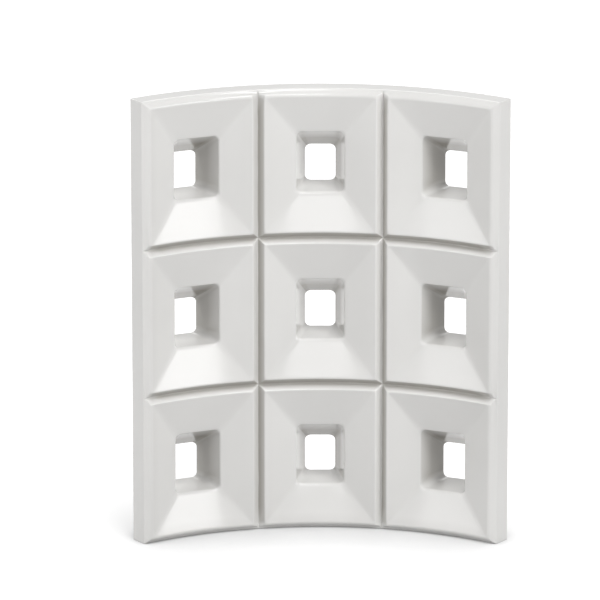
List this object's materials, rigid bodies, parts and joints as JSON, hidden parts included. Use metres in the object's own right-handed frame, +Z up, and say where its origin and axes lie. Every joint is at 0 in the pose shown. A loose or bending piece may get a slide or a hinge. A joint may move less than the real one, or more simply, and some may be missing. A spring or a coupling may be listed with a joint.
{
  "type": "decorative screen block",
  "caption": "Curved glazed ceramic screen block: a grid of funnel-shaped cells parted by V-grooves on the hollow face, each opening through a tapered throat to the rounded back.",
  "frame": {"origin": "centre of the block's footprint box, at the level of the bottom bed it stands on", "axes": "+Z up the height of the block, -Y out of the hollow patterned face towards the viewer, +X to the viewer's right"},
  "size_m": [0.3196, 0.0862, 0.39],
  "materials": {
    "glaze": "glossy off-white glaze, softened over the edges"
  },
  "bodies": {
    "root": {"screen_block": "glaze"}
  },
  "joints": []
}
